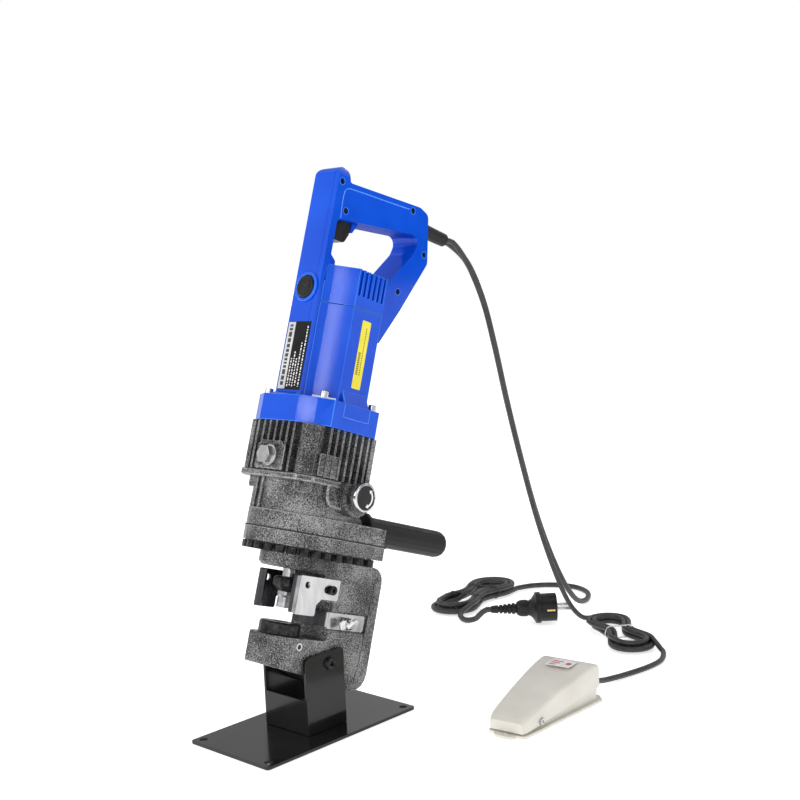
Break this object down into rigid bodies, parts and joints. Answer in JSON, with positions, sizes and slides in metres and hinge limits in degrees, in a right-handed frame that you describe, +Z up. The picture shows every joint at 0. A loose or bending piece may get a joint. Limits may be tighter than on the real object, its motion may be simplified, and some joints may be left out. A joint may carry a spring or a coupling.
{
  "type": "electric hydraulic hole punch",
  "caption": "Blue corded hydraulic hole punch with a C-frame throat, leaning on a black steel stand, with a foot switch and a mains lead.",
  "frame": {"origin": "centre of the base plate underside", "axes": "+Z up, -Y the front where the throat opens, +X the side with the release knob and the foot switch"},
  "size_m": [0.3972, 0.6826, 0.552],
  "materials": {
    "black_gloss": "black gloss paint",
    "hammered_grey": "grey and black hammered paint",
    "blue_paint": "royal blue gloss",
    "black_steel": "blackened, oiled",
    "zinc": "bright zinc plated",
    "chrome": "polished",
    "steel": "ground steel",
    "rubber": "black moulded",
    "cord_rubber": "dark grey sheath",
    "black_plastic": "black satin",
    "pedal_white": "off-white grained",
    "copper": "copper windings and bars",
    "carbon": "pressed carbon",
    "white_tie": "white plastic"
  },
  "bodies": {
    "stand": {"base_plate": "black_gloss", "stand_bracket": "black_gloss", "foot_switch_base": "pedal_white", "foot_switch_pin": "steel", "foot_switch_microswitch": "black_plastic", "foot_switch_spring": "steel", "foot_switch_gland": "rubber", "plug_body": "black_plastic", "power_cord": "cord_rubber", "power_cord_tail": "cord_rubber", "power_cord_hank": "cord_rubber", "foot_cord": "cord_rubber", "foot_cord_tail": "cord_rubber", "foot_cord_hank": "cord_rubber", "foot_cord_tie": "white_tie"},
    "treadle": {"foot_switch_treadle": "pedal_white"},
    "tool": {"c_frame": "hammered_grey", "lower_die": "black_steel", "die_set_screw": "chrome", "stripper_plate_left": "zinc", "stripper_plate_right": "zinc", "stripper_screw_left": "black_steel", "stripper_screw_right": "black_steel", "stand_bolt_left": "black_steel", "stand_bolt_right": "black_steel", "flange_bolt_ring": "black_steel", "pump_body": "hammered_grey", "oil_tank": "hammered_grey", "oil_plug": "zinc", "oil_bladder": "rubber", "pump_block": "steel", "side_grip": "rubber", "grip_stud": "steel", "motor_housing": "blue_paint", "rear_housing": "blue_paint", "stator": "steel", "lower_bearing": "chrome", "upper_bearing": "chrome", "handle_shell": "blue_paint", "handle_cover": "blue_paint", "brush_cap": "black_plastic", "carbon_brush_front": "carbon", "carbon_brush_rear": "carbon", "switch_body": "black_plastic", "cable_sleeve": "rubber", "return_spring": "steel"},
    "ram": {"piston": "chrome", "piston_seal": "rubber", "punch_holder": "black_steel", "punch": "steel"},
    "release_knob": {"release_knob": "chrome"},
    "backstop": {"backstop_bracket": "zinc"},
    "wing_screw": {"wing_screw": "chrome"},
    "trigger": {"trigger": "black_plastic"},
    "armature": {"armature_shaft": "steel", "armature_core": "copper", "commutator": "copper", "cooling_fan": "black_plastic"},
    "plunger_front": {"plunger_front": "chrome"},
    "plunger_rear": {"plunger_rear": "chrome"}
  },
  "joints": [
    {"name": "stand_tilt", "type": "hinge", "parent": "stand", "child": "tool", "pos_m": [0, 0.007, 0.068], "axis": [1, 0, 0], "range_deg": [-20, 28], "deforming": ["power_cord", "foot_cord"]},
    {"name": "treadle_hinge", "type": "hinge", "parent": "stand", "child": "treadle", "pos_m": [0.17476, 0.1242, 0.0095], "axis": [0.9945, 0.1045, 0], "range_deg": [-4, 0], "stiffness_Nm_per_rad": 4, "springref_deg": 20.05, "deforming": ["foot_switch_spring"]},
    {"name": "ram_slide", "type": "slide", "parent": "tool", "child": "ram", "axis": [0, -0.309, -0.9511], "range_m": [0, 0.016], "stiffness_N_per_m": 2000, "springref_m": -0.02, "deforming": ["return_spring"]},
    {"name": "release_knob_turn", "type": "hinge", "parent": "tool", "child": "release_knob", "pos_m": [0.06, 0.03217, 0.23121], "axis": [1, 0, 0], "range_deg": [0, 120]},
    {"name": "backstop_slide", "type": "slide", "parent": "tool", "child": "backstop", "axis": [0, -0.9511, 0.309], "range_m": [0, 0.016]},
    {"name": "wing_screw_turn", "type": "hinge", "parent": "tool", "child": "wing_screw", "pos_m": [0.028, 0.03252, 0.10124], "axis": [1, 0, 0], "range_deg": [0, 180]},
    {"name": "trigger_press", "type": "slide", "parent": "tool", "child": "trigger", "axis": [0, 0.309, 0.9511], "range_m": [0, 0.005], "stiffness_N_per_m": 600, "springref_m": -0.008},
    {"name": "armature_spin", "type": "hinge", "parent": "tool", "child": "armature", "pos_m": [0, 0.05691, 0.36722], "axis": [0, 0.309, 0.9511], "continuous": true},
    {"name": "plunger_front_slide", "type": "slide", "parent": "tool", "child": "plunger_front", "axis": [0, -0.9511, 0.309], "range_m": [0, 0.002], "stiffness_N_per_m": 1500, "springref_m": -0.004},
    {"name": "plunger_rear_slide", "type": "slide", "parent": "tool", "child": "plunger_rear", "axis": [0, 0.9511, -0.309], "range_m": [0, 0.002], "stiffness_N_per_m": 1500, "springref_m": -0.004}
  ]
}
